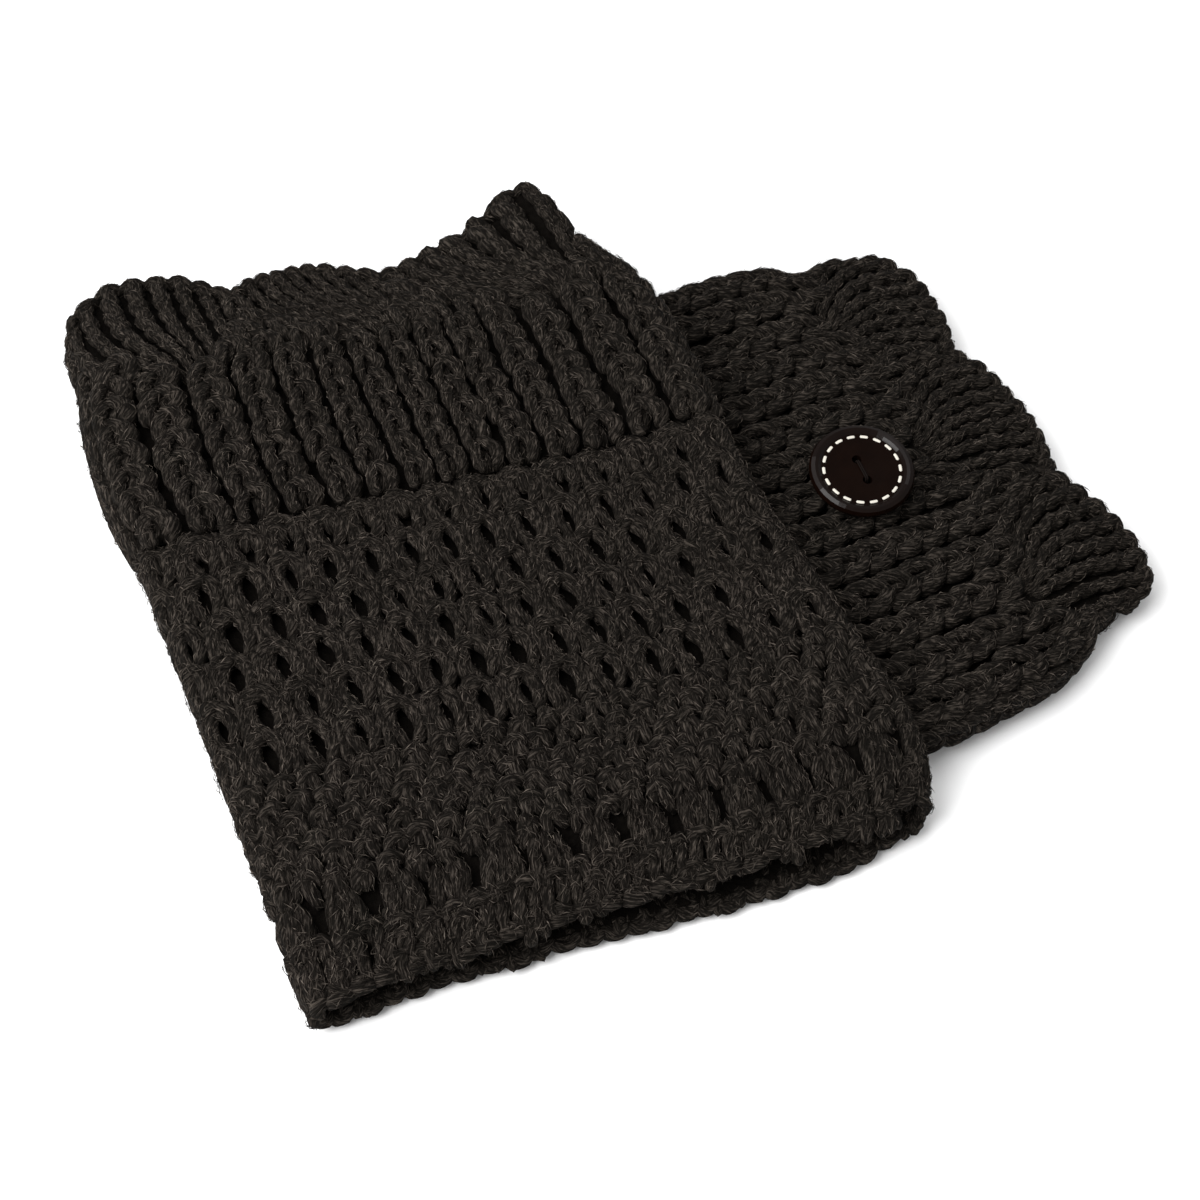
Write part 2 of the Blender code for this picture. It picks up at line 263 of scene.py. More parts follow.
def trough(creases, x, y):
    """Depth of the soft creases at a place: each is a bell across its line, fading at both ends."""
    depth = np.zeros_like(x)
    for crease in creases:
        heading = math.radians(crease.heading)
        forward = (x - crease.x) * math.cos(heading) + (y - crease.y) * math.sin(heading)
        aside = (y - crease.y) * math.cos(heading) - (x - crease.x) * math.sin(heading)
        fade = 1.0 - ease(np.abs(forward), (0.25 * crease.length, 0.55 * crease.length))
        depth = depth + crease.depth * np.exp(-(aside / crease.width) ** 2) * fade
    return depth


def tube_points(leg, table, turn, along, depth):
    """Points of a flattened tube, whose section is two flats joined by half circles.

    turn goes from 0 at the left fold over the top to 0.5 at the right fold and back
    beneath to 1, and depth is the distance in from the outer face.
    """
    turn = turn % 1.0
    left, right, height = outline_at(table, along)
    radius = 0.5 * height
    flat = left + right - 2.0 * radius
    quarter = 0.5 * math.pi * radius
    on_top = turn <= 0.5
    share = np.where(on_top, 2.0 * turn, 2.0 - 2.0 * turn)
    share = share + leg.crowding * np.sin(2.0 * math.pi * share) * on_top * (table is leg.cuff)
    run = share * (flat + 2.0 * quarter)
    side = np.where(on_top, 1.0, -1.0)
    inner = radius - depth
    left_angle = np.clip(run / radius, 0.0, 0.5 * math.pi)
    right_angle = np.clip((run - quarter - flat) / radius, 0.0, 0.5 * math.pi)
    across = -left + radius + np.clip(run - quarter, 0.0, flat)
    across = across - inner * np.cos(left_angle) + inner * np.sin(right_angle)
    round_over = np.sin(left_angle) * np.cos(right_angle)
    up = radius + side * inner * round_over
    across = across - leg.lean * ease(along, LEAN_ALONG) * np.sin(math.pi * share ** 1.5) * on_top
    if leg.turned:
        x, y = leg.hem_at + along, leg.axis - across
    else:
        x, y = leg.axis + across, leg.hem_at + along
    creases = LOWER_CREASES if leg.turned else UPPER_CREASES
    up = up - trough(creases, x, y) * on_top * round_over
    return np.stack([x, y, up + support(leg, x, y, along)], axis=-1) + SHIFT


def tube_place(leg, table, turn, along, depth):
    """Points of a tube with the direction out of the cloth at each."""
    turn, along, depth = np.broadcast_arrays(turn, along, depth)
    point = tube_points(leg, table, turn, along, depth)
    outer = tube_points(leg, table, turn, along, depth - 1.0)
    return point, outer - point


def hem_edge(leg, turn):
    """Distance of the hem's own edge from the hem line: a curve through its readings."""
    return follow(turn % 1.0, np.linspace(0.0, 1.0, len(leg.hem)), leg.hem)


def fan_edge(leg, turn):
    """Distance of the fans' edge from the hem: each fan is an arch between two valleys."""
    place = (turn % 1.0) * FANS
    index = np.floor(place).astype(int) % FANS
    part = place - np.floor(place)
    fans = np.array(leg.fans)
    start, peak, peak_at, _, _, bend, bow = np.moveaxis(fans[index], -1, 0)
    end = fans[(index + 1) % FANS][..., 0]
    before = part < peak_at
    offset = np.where(before, (peak_at - part) / peak_at, (part - peak_at) / (1.0 - peak_at))
    foot = np.where(before, start, end)
    bend, bow = np.where(before, bend, 2.0), np.where(before, bow, 0.75)
    return foot + (peak - foot) * (1.0 - offset ** bend) ** bow


def unit(vectors):
    """Vectors of length one."""
    return vectors / np.maximum(np.linalg.norm(vectors, axis=-1, keepdims=True), 1e-9)


def travelled(centres):
    """Length run along each path at each of its points."""
    steps = np.linalg.norm(np.diff(centres, axis=1), axis=-1)
    return np.concatenate([np.zeros((len(centres), 1)), np.cumsum(steps, axis=1)], axis=1)


def yarn_tubes(yarns):
    """Closed yarns carried along many paths at once.

    An oval ring, wide across the cloth and less deep through it, stands square to each
    path point; rings are joined by quads and both ends close in a fan to a point.
    start is where each yarn begins on its own length, so that no two look the same.
    """
    centres, normals, width, depth, sides, start = yarns
    count, steps, _ = centres.shape
    ahead = unit(np.gradient(centres, axis=1))
    aside = unit(np.cross(ahead, normals))
    out = np.cross(aside, ahead)
    angle = 2.0 * math.pi * np.arange(sides) / sides
    wide = (width[..., None] * np.cos(angle))[..., None] * aside[:, :, None]
    deep = (depth[..., None] * np.sin(angle))[..., None] * out[:, :, None]
    rings = centres[:, :, None] + wide + deep
    first = centres[:, 0] - 0.6 * width[:, 0, None] * ahead[:, 0]
    last = centres[:, -1] + 0.6 * width[:, -1, None] * ahead[:, -1]
    points = np.concatenate([rings.reshape(count, -1, 3), first[:, None], last[:, None]], axis=1)
    corner_step = np.arange(steps - 1)[:, None, None] + np.array([0, 1, 1, 0])
    corner_side = np.arange(sides)[:, None] + np.array([0, 0, 1, 1])
    quad = (corner_step * sides + corner_side % sides).reshape(-1, 4)
    around = np.arange(sides)
    following = (around + 1) % sides
    end = (steps - 1) * sides
    start_cap = np.stack([np.full(sides, steps * sides), around, following], axis=-1)
    end_cap = np.stack([np.full(sides, steps * sides + 1), end + following, end + around], axis=-1)
    triangle = np.concatenate([start_cap, end_cap])
    run = travelled(centres) + start[:, None]
    quad_uv = np.stack(np.broadcast_arrays(corner_side / sides, run[:, corner_step]), axis=-1)
    cap_u = np.stack([around + 0.5, around, around + 1.0], axis=-1) / sides
    cap_u = np.concatenate([cap_u, cap_u[:, [0, 2, 1]]])
    cap_v = np.repeat(run[:, [0, -1]], sides, axis=1)[..., None]
    cap_uv = np.stack(np.broadcast_arrays(cap_u, cap_v), axis=-1)
    base = np.arange(count)[:, None, None] * points.shape[1]
    return (
        points.reshape(-1, 3),
        (quad[None] + base).reshape(-1, 4),
        quad_uv.reshape(-1, 2),
        (triangle[None] + base).reshape(-1, 3),
        cap_uv.reshape(-1, 2),
    )


def plied(centres, normals, plies, apart, pitch, start):
    """Turn each path into several that wind round it, as the plies of a yarn do."""
    ahead = unit(np.gradient(centres, axis=1))
    aside = unit(np.cross(ahead, normals))
    out = np.cross(aside, ahead)
    run = travelled(centres)
    wound = []
    for ply in range(plies):
        angle = 2.0 * math.pi * ((run + start[:, None]) / pitch + ply / plies)
        circle = np.cos(angle)[..., None] * aside + 0.7 * np.sin(angle)[..., None] * out
        wound.append(centres + np.asarray(apart)[..., None] * circle)
    return np.concatenate(wound), np.concatenate([normals] * plies)


def joined(parts):
    """One set of points and faces from several, with each part's corners counted on."""
    bases = np.cumsum([0] + [len(part[0]) for part in parts])
    moved = [
        (points, quads + base, quad_uv, triangles + base, triangle_uv)
        for base, (points, quads, quad_uv, triangles, triangle_uv) in zip(bases, parts)
    ]
    return [np.concatenate(column) for column in zip(*moved)]


def add_piece(name, parts, material, nodes):
    """Make one smooth object from parts, which rides on the body and stands for the nodes."""
    points, quads, quad_uv, triangles, triangle_uv = joined(parts)
    mesh = bpy.data.meshes.new(name)
    mesh.vertices.add(len(points))
    mesh.vertices.foreach_set("co", (points * MM).astype(np.float32).ravel())
    corners = np.concatenate([quads.ravel(), triangles.ravel()]).astype(np.int32)
    mesh.loops.add(len(corners))
    mesh.loops.foreach_set("vertex_index", corners)
    quad_starts = 4 * np.arange(len(quads))
    triangle_starts = 4 * len(quads) + 3 * np.arange(len(triangles))
    starts = np.concatenate([quad_starts, triangle_starts]).astype(np.int32)
    mesh.polygons.add(len(starts))
    mesh.polygons.foreach_set("loop_start", starts)
    mesh.update(calc_edges=True)
    mesh.polygons.foreach_set("use_smooth", np.ones(len(starts), dtype=bool))
    layer = mesh.uv_layers.new(name="Yarn")
    layer.uv.foreach_set("vector", np.concatenate([quad_uv, triangle_uv]).astype(np.float32).ravel())
    mesh.materials.append(material)
    piece = bpy.data.objects.new(name, mesh)
    bpy.context.scene.collection.objects.link(piece)
    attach(piece, "root")
    if nodes:
        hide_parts(*nodes)
    return piece


def add_yarns(name, yarns, material, node):
    """One object of many yarns."""
    return add_piece(name, [yarn_tubes(yarn) for yarn in yarns], material, [node])


def sheet_part(points):
    """Quads over a grid of points that closes round its second direction."""
    rows, columns, _ = points.shape
    row, column = np.arange(rows - 1)[:, None], np.arange(columns)[None, :]
    after = (column + 1) % columns
    quads = np.stack([
        row * columns + column,
        row * columns + after,
        (row + 1) * columns + after,
        (row + 1) * columns + column,
    ], axis=-1).reshape(-1, 4)
    steps = np.stack(np.broadcast_arrays(column / columns, row / rows), axis=-1).reshape(-1, 2)
    return points.reshape(-1, 3), quads, np.repeat(steps, 4, axis=0), np.zeros((0, 3), int), np.zeros((0, 2))


def room(leg, turn):
    """How widely the cuff's ribs and strands are spaced at a place, against their mean."""
    return 1.0 + 2.0 * math.pi * leg.crowding * np.cos(4.0 * math.pi * turn) * (turn % 1.0 < 0.5)


def unseen(leg, table, turn):
    """Whether a place is beneath its own leg, or on the body that the other leg covers."""
    turn = turn % 1.0
    return ((turn > BENEATH[0]) & (turn < BENEATH[1])) | (leg.turned and table is leg.body)


def loop_yarns(leg, table, rng, columns, alongs, count, loops, loose=0.12, closed=0.0):
    """One yarn for each loop at each place: the loop's own path, laid on the tube.

    A path's points are shares of a column, millimetres along and millimetres deep.
    Each yarn drifts and leans a little, and its thickness wavers, at random. Out of
    sight, a yarn has fewer steps and sides. closed is how much thicker the yarn gets
    towards the right fold, where the cloth bunches up and its eyelets close.
    """
    yarns = []
    swell = 1.0 + closed * ease(columns / count, (0.37, 0.43)) * (columns / count < BENEATH[0])
    hidden = unseen(leg, table, columns / count) & (alongs > 2.0)
    for loop, plain in [(loop, plain) for loop in loops for plain in (False, True)]:
        chosen = hidden if plain else ~hidden
        if not chosen.any():
            continue
        rows = np.asarray(loop.path, float)
        stations = np.arange(len(rows))
        step_count = 4 if plain else loop.steps
        steps = np.linspace(0.0, len(rows) - 1.0, step_count)
        path = np.stack([follow(steps, stations, rows[:, field]) for field in range(3)], axis=-1)
        drift = rng.normal(0.0, loose, (chosen.sum(), 3))
        lean = rng.normal(0.0, loose, (chosen.sum(), 2))
        swing = np.linspace(-1.0, 1.0, step_count)[None, :]
        column = columns[chosen, None] + path[None, :, 0] + 0.25 * (drift[:, :1] + lean[:, :1] * swing)
        along = alongs[chosen, None] + path[None, :, 1] + 2.0 * (drift[:, 1:2] + lean[:, 1:2] * swing)
        taper = 1.0 - 0.3 * np.abs(swing) ** 3
        wavering = rng.normal(1.0, 0.05, (chosen.sum(), step_count))
        width = loop.thick * rng.normal(1.0, 0.06, (chosen.sum(), 1)) * taper * wavering
        width = width * swell[chosen, None]
        if table is leg.cuff:
            left, right, _ = outline_at(table, alongs[chosen])
            reach = (left + right)[:, None] / RIB_REACH
            width = width * reach * room(leg, columns[chosen, None] / count)
        depth = np.maximum(path[None, :, 2] + 0.6 * drift[:, 2:3], 1.12 * np.maximum(width, loop.thick))
        centres, normals = tube_place(leg, table, column / count, along, depth)
        start = rng.uniform(0.0, YARN_LENGTH, chosen.sum())
        yarns.append(Yarns(centres, normals, width, 0.92 * width, 4 if plain else loop.sides, start))
    return yarns


def fuzz(yarns, total, length, spread, rng):
    """Loose fibres on the outer side of yarns: thin three-sided slivers, pointed at both ends.

    A fibre starts anywhere on a yarn's upper half and runs along it, turned at random
    by about the spread, with its middle and its tip lifted off the yarn. Each yarn has
    its share by length.
    """
    points = []
    facings = [yarn.normals[:, yarn.centres.shape[1] // 2, 2] > -0.3 for yarn in yarns]
    spans = np.array([travelled(yarn.centres[facing])[:, -1].sum() for yarn, facing in zip(yarns, facings)])
    counts = (total * spans / spans.sum()).astype(int)
    for yarn, facing, count in zip(yarns, facings, counts):
        if not count:
            continue
        centres, normals = yarn.centres[facing], yarn.normals[facing]
        which = rng.integers(0, len(centres), count)
        step = rng.uniform(0.0, centres.shape[1] - 1.001, count)
        low = step.astype(int)
        part = (step - low)[:, None]
        before, after = centres[which, low], centres[which, low + 1]
        ahead = unit(after - before)
        normal = unit(normals[which, low])
        aside = unit(np.cross(ahead, normal))
        out = np.cross(aside, ahead)
        angle = rng.uniform(-1.25, 1.25, count)[:, None]
        outward = np.sin(angle) * aside + np.cos(angle) * out
        round_yarn = np.cross(ahead, outward)
        turned = rng.normal(0.25, spread, count)[:, None]
        heading = np.cos(turned) * ahead + np.sin(turned) * round_yarn
        reach = rng.uniform(0.4, 1.0, count)[:, None] * length
        surface = before + part * (after - before) + 0.97 * yarn.width[facing][which, low][:, None] * outward
        bend = rng.normal(0.0, 0.35, count)[:, None] * round_yarn
        lift = rng.uniform(0.0, 0.22, count)[:, None]
        tip_lift = rng.uniform(-0.40, 0.10, count)[:, None]
        tip_lift = tip_lift + 0.7 * (rng.uniform(0, 1, count)[:, None] > 0.95)
        first = surface - 0.5 * reach * heading - 0.25 * outward
        middle = surface + lift * outward + bend
        last = surface + 0.5 * reach * heading + tip_lift * outward
        thick = rng.uniform(*FIBRE_THICK, count)[:, None]
        ring = [
            middle + thick * (math.cos(turn) * round_yarn + math.sin(turn) * outward)
            for turn in 2.0 * math.pi * np.arange(3) / 3.0
        ]
        points.append(np.stack([first, *ring, last], axis=1))
    points = np.concatenate(points)
    count = len(points)
    corner = np.arange(3)
    following = (corner + 1) % 3
    first_cap = np.stack([np.zeros(3, int), 1 + following, 1 + corner], axis=-1)
    last_cap = np.stack([np.full(3, 4), 1 + corner, 1 + following], axis=-1)
    triangle = np.concatenate([first_cap, last_cap])
    triangles = (triangle[None] + 5 * np.arange(count)[:, None, None]).reshape(-1, 3)
    lightness = np.repeat(rng.uniform(0.0, 1.0, (count, 2)), triangle.size, axis=0)
    return points.reshape(-1, 3), np.zeros((0, 4), int), np.zeros((0, 2)), triangles, lightness


def places(column_count, rows, row_pitch, first_along, start=0.0, stagger=0.0):
    """Columns and distances along of a grid of stitches, every second row staggered."""
    row, column = np.meshgrid(np.arange(rows), np.arange(column_count), indexing="ij")
    columns = column + start + stagger * (row % 2)
    return columns.ravel().astype(float), (first_along + row_pitch * row).ravel().astype(float)


# The yarn's loops in each kind of stitch: thickness, sides, steps and path, whose points are
# shares of a column round the tube, millimetres along and millimetres in from the outer face
RIB_ROWS = 7
RIB_PITCH = (FANS_FROM - SEAM_AT) / RIB_ROWS
RIB_START = 0.4
RIB_REACH = 133.0
RIB_LOOPS = (
    Loop(1.50, 5, 5, ((-0.04, 0.6, 4.6), (-0.02, 2.4, 3.5), (0.00, 4.6, 3.4), (0.00, 6.6, 4.6))),
    Loop(1.60, 7, 9, (
        (-0.31, -1.4, 2.6), (-0.325, 0.5, 1.75), (-0.31, 2.6, 1.75), (-0.25, 4.6, 1.9), (-0.16, 6.4, 2.4),
        (-0.06, 7.6, 3.4),
    )),
    Loop(1.85, 7, 10, (
        (0.14, 0.2, 3.8), (0.225, 1.8, 2.9), (0.265, 3.6, 2.2), (0.21, 5.4, 2.0), (0.08, 7.0, 2.0),
        (-0.08, 8.0, 2.7),
    )),
)
MESH_LOOPS = (
    Loop(1.53, 6, 7, (
        (-0.08, -4.6, 2.3), (-0.22, -2.6, 1.8), (-0.30, 0.0, 1.65), (-0.24, 2.6, 1.8), (-0.10, 4.6, 2.2),
    )),
    Loop(1.53, 6, 7, (
        (0.10, -4.4, 2.2), (0.24, -2.4, 1.8), (0.295, 0.2, 1.65), (0.23, 2.8, 1.8), (0.08, 4.8, 2.3),
    )),
    Loop(1.55, 6, 6, (
        (0.50, -5.8, 2.0), (0.52, -2.6, 1.7), (0.48, 0.6, 1.7), (0.51, 3.2, 1.7), (0.49, 5.6, 2.0),
    )),
    Loop(1.40, 6, 6, ((-0.44, 2.6, 2.2), (-0.26, 4.0, 1.7), (-0.04, 4.7, 1.6), (0.16, 5.9, 2.0))),
    Loop(1.40, 6, 6, ((0.44, 3.0, 2.2), (0.26, 4.4, 1.7), (0.04, 5.7, 1.7), (-0.14, 6.6, 2.1))),
    Loop(1.35, 6, 6, ((0.56, 3.4, 2.2), (0.68, 5.0, 1.6), (0.82, 5.9, 1.6), (0.97, 6.8, 2.1))),
)
DENSE_COLUMNS = 52
DENSE_ROWS = 6
DENSE_PITCH = 4.3
DENSE_FROM = 20.0
SEAM_ROW_AT = SEAM_AT - 4.0
DENSE_LOOPS = (
    Loop(1.55, 6, 6, ((-0.52, -0.9, 2.8), (-0.26, 0.5, 1.7), (0.12, 0.9, 1.75), (0.46, -0.2, 2.8))),
    Loop(1.50, 6, 6, ((0.20, -2.6, 2.8), (0.06, -1.4, 1.8), (0.00, 1.2, 1.85), (0.08, 2.8, 2.9))),
    Loop(1.30, 6, 5, ((-0.34, -2.4, 2.8), (-0.30, -1.0, 2.0), (-0.20, 1.0, 2.9))),
)
HEM_COLUMNS = 46
POSTS_IN = 2.6
RIM_COLUMNS = 56
RIM_IN = 0.4
RIDGE_AT = 10.6
FILLING_AT = 4.6
FILLING_PITCH = 3.4
FILLING_SHARE = 0.55
OPEN_COLUMNS = 28
OPEN_START = 0.12
OPEN_AT = 12.0
RIDGE_LOOPS = (
    Loop(1.50, 6, 6, ((-0.55, -0.8, 2.8), (-0.25, 0.4, 1.7), (0.20, 0.9, 1.7), (0.60, 0.2, 2.8))),
    Loop(1.40, 6, 5, ((0.30, -2.6, 2.9), (0.22, -1.0, 1.8), (0.16, 1.2, 2.6))),
    Loop(1.35, 6, 5, ((-0.24, -2.2, 2.9), (-0.30, 0.0, 1.9), (-0.26, 2.4, 2.6))),
)
POST_LOOPS = (
    Loop(1.50, 6, 6, ((-0.28, -1.4, 2.6), (-0.30, 1.4, 1.7), (-0.24, 4.4, 1.8), (-0.12, 6.8, 2.8))),
    Loop(1.40, 6, 6, ((0.24, -1.2, 2.8), (0.20, 1.8, 1.8), (0.26, 4.2, 1.8), (0.16, 6.6, 2.8))),
)
OPEN_LOOPS = (
    Loop(1.45, 6, 6, ((0.26, -1.4, 2.8), (0.24, 1.4, 1.8), (0.27, 3.8, 1.7), (0.33, 6.6, 2.8))),
    Loop(1.45, 6, 6, ((0.42, -1.4, 2.6), (0.44, 1.4, 1.6), (0.42, 4.0, 1.6), (0.41, 6.8, 2.8))),
    Loop(1.45, 6, 6, ((0.58, -1.4, 2.6), (0.59, 1.4, 1.7), (0.57, 4.0, 1.6), (0.59, 6.8, 2.8))),
    Loop(1.45, 6, 6, ((0.76, -1.4, 2.8), (0.78, 1.4, 1.8), (0.74, 3.8, 1.7), (0.68, 6.6, 2.8))),
)
RIM_LOOPS = (
    Loop(1.45, 6, 7, ((-0.62, 1.5, 3.0), (-0.28, 0.9, 1.9), (0.08, 0.9, 1.8), (0.48, 1.4, 2.6))),
    Loop(1.30, 6, 6, ((-0.40, 3.0, 3.0), (-0.10, 2.5, 1.8), (0.25, 2.3, 1.9), (0.55, 2.8, 3.0))),
)

# Fans: their strands, whose thickness and plies are shares of the space between neighbours
FAN_WIDTH = 45.0
VALLEY_MARGIN = 8.0
STRANDS = 9
STRAND_STEPS = 22
STRAND_SPACE = (3.4, 8.6)
STRAND_THICK = 0.295
STRAND_APART = 0.145
STRAND_PITCH = 12.0
EDGING_REACH = 0.62

# Loose fibres: the longest on a body and on a cuff, and how thick they are
BODY_FIBRE = 3.5
CUFF_FIBRE = 3.6
FIBRE_THICK = (0.05, 0.115)


def valley_ribs(leg, rng):
    """The ribs between two fans run on a little way up into the valley."""
    offset = np.array([-1.3, -0.4, 0.6, 1.3, -0.6, 0.4, -0.1, -0.1])
    row = np.array([0.0, 0.0, 0.0, 0.0, 1.0, 1.0, 2.0, 3.0])
    boundary = np.repeat(np.arange(FANS) * (RIBS // FANS), len(offset))
    valley = np.repeat([fan.valley for fan in leg.fans], len(offset))
    alongs = FANS_FROM + RIB_START + RIB_PITCH * 0.8 * np.tile(row, FANS)
    columns = boundary + np.tile(offset, FANS)
    short = alongs < valley - VALLEY_MARGIN
    return loop_yarns(leg, leg.cuff, rng, columns[short], alongs[short], RIBS, RIB_LOOPS, 0.2)


def strand_parts(leg):
    """Shares of each fan's width at which its strands end: evenly spaced along its edge."""
    fine = np.linspace(0.0, 1.0, 121)
    parts = []
    for index in range(FANS):
        run = np.hypot(np.diff(fan_edge(leg, (index + fine) / FANS)), FAN_WIDTH * np.diff(fine))
        length = np.concatenate([[0.0], np.cumsum(run)])
        parts.append(np.interp((np.arange(STRANDS) + 0.5) / STRANDS * length[-1], length, fine))
    return np.concatenate(parts)


def fan_strands(leg, rng):
    """Strands that spread from each fan's apex to its arched edge.

    A strand leaves the apex sideways and bends up to the edge, as a quarter of an oval;
    the nearer it ends to the fan's middle, the straighter it runs. Its thickness is a
    share of the distance between neighbours, square to their run, and less at the apex.
    """
    fan = np.repeat(np.arange(FANS), STRANDS)
    part = strand_parts(leg)
    _, _, _, apex, apex_at, _, _ = np.array(leg.fans)[fan].T
    end_turn = (fan + part) / FANS
    end_along = fan_edge(leg, end_turn) - 0.6
    sideways = np.abs(part - apex) / 0.5
    step = np.linspace(0.0, 1.0, STRAND_STEPS)[None, :]
    swing = np.sin(0.5 * math.pi * step)
    climb = step + np.clip(sideways, 0.0, 1.0)[:, None] * (1.0 - np.cos(0.5 * math.pi * step) - step)
    begin_part = apex + (part - apex) * 0.26
    begin_turn = (fan + begin_part) / FANS
    turn = begin_turn[:, None] + (end_turn - begin_turn)[:, None] * swing
    begin_along = apex_at - 1.5 - 2.0 * rng.uniform(0.0, 1.0, len(fan))
    along = begin_along[:, None] + (end_along - begin_along)[:, None] * climb
    depth = 2.35 + 2.2 * (1.0 - ease(step, (0.0, 0.22))) + 0.5 * ease(step, (0.85, 1.0))
    depth = depth + 1.5 * np.abs(2.0 * part - 1.0)[:, None] ** 4
    centres, normals = tube_place(leg, leg.cuff, turn, along, depth)
    start = rng.uniform(0.0, YARN_LENGTH, len(fan))
    ends = centres[:, -1].reshape(FANS, STRANDS, 3)
    run = unit(centres[:, -1] - centres[:, STRAND_STEPS // 2]).reshape(FANS, STRANDS, 3)
    spacing = np.linalg.norm(np.cross(run, np.gradient(ends, axis=1)), axis=-1).reshape(-1, 1)
    spacing = np.clip(spacing, *STRAND_SPACE) * (0.55 + 0.45 * ease(step, (0.0, 0.75)))
    wound, normals = plied(centres, normals, 2, STRAND_APART * spacing, STRAND_PITCH, start)
    starts = np.concatenate([start, start + 37.0])
    spacing = np.tile(spacing, (2, 1))
    thick = STRAND_THICK * spacing * rng.normal(1.0, 0.04, spacing.shape)
    return Yarns(wound, normals, thick, thick, 6, starts)


def fan_edging(leg, rng):
    """Short fat loops over the ends of the strands, which make the fans' bumpy edge.

    Each is an arch along the edge, furthest out and thickest over its own strand.
    """
    count = FANS * STRANDS
    middle = (np.repeat(np.arange(FANS), STRANDS) + strand_parts(leg)) / FANS
    offset = np.linspace(-EDGING_REACH, EDGING_REACH, 7)[None, :]
    turn = middle[:, None] + offset * np.gradient(middle)[:, None]
    rise = 1.0 - (offset / EDGING_REACH) ** 2
    along = fan_edge(leg, turn) - 1.9 + 1.5 * rise + rng.normal(0.0, 0.3, (count, 1))
    depth = 3.6 - 1.3 * rise
    centres, normals = tube_place(leg, leg.cuff, turn, along, depth)
    thick = 1.4 * (0.7 + 0.3 * rise) + np.zeros((count, 1))
    return Yarns(centres, normals, thick, thick, 6, rng.uniform(0.0, YARN_LENGTH, count))


def body_ground(leg):
    """The body's inner face: a tube deeper than the yarns, deepest beneath the openwork."""
    columns, rows = 200, 50
    turn = np.broadcast_to((np.arange(columns) / columns)[None, :], (rows, columns))
    edge = hem_edge(leg, turn) + 2.5
    share = np.linspace(0.0, 1.0, rows)[:, None]
    along = edge + (SEAM_AT + 2.0 - edge) * share
    openwork = ease(along, (42.0, 46.0)) * (1.0 - ease(along, (101.0, 104.0)))
    depth = 2.9 + openwork + 0.3 * (1.0 - ease(along, (16.0, 22.0)))
    return sheet_part(tube_points(leg, leg.body, turn, along, depth))


def cuff_ground(leg):
    """The cuff's inner face: a tube with a groove between ribs, up to the fans' edge."""
    columns, rows = 240, 46
    turn = np.broadcast_to((np.arange(columns) / columns)[None, :], (rows, columns))
    edge = fan_edge(leg, turn) - 0.8
    share = np.linspace(0.0, 1.0, rows)[:, None]
    along = SEAM_AT - 0.5 + (edge - SEAM_AT + 0.5) * share
    groove = 0.5 - 0.5 * np.cos(2.0 * math.pi * turn * RIBS)
    ribbed = 1.0 - ease(along, (FANS_FROM - 6.0, FANS_FROM + 4.0))
    depth = 3.6 + (0.6 + 0.9 * groove) * ribbed
    return sheet_part(tube_points(leg, leg.cuff, turn, along, depth))


def add_node(tree, kind, inputs=None, **settings):
    """A shader node: each of its inputs is set to a value or linked to another's output."""
    node = tree.nodes.new("ShaderNode" + kind)
    for name, value in settings.items():
        setattr(node, name, value)
    for name, value in (inputs or {}).items():
        if isinstance(value, bpy.types.NodeSocket):
            tree.links.new(value, node.inputs[name])
        else:
            node.inputs[name].default_value = value
    return node


def math_node(tree, operation, *values):
    """What a Math node makes of values or sockets."""
    return add_node(tree, "Math", dict(enumerate(values)), operation=operation).outputs[0]


def noise(tree, place, scale, detail, roughness=0.5):
    """Noise at a place."""
    inputs = {"Scale": scale, "Detail": detail, "Roughness": roughness, "Vector": place}
    return add_node(tree, "TexNoise", inputs).outputs["Fac"]


def colour_between(tree, factor, first, second):
    """The colour that a factor chooses between two."""
    inputs = {"Factor": factor, "A": first, "B": second}
    return add_node(tree, "Mix", inputs, data_type="RGBA").outputs["Result"]


def yarn_place(tree):
    """Place round a yarn and along it."""
    place = add_node(tree, "UVMap", uv_map="Yarn").outputs["UV"]
    return add_node(tree, "SeparateXYZ", {0: place}).outputs[:2]


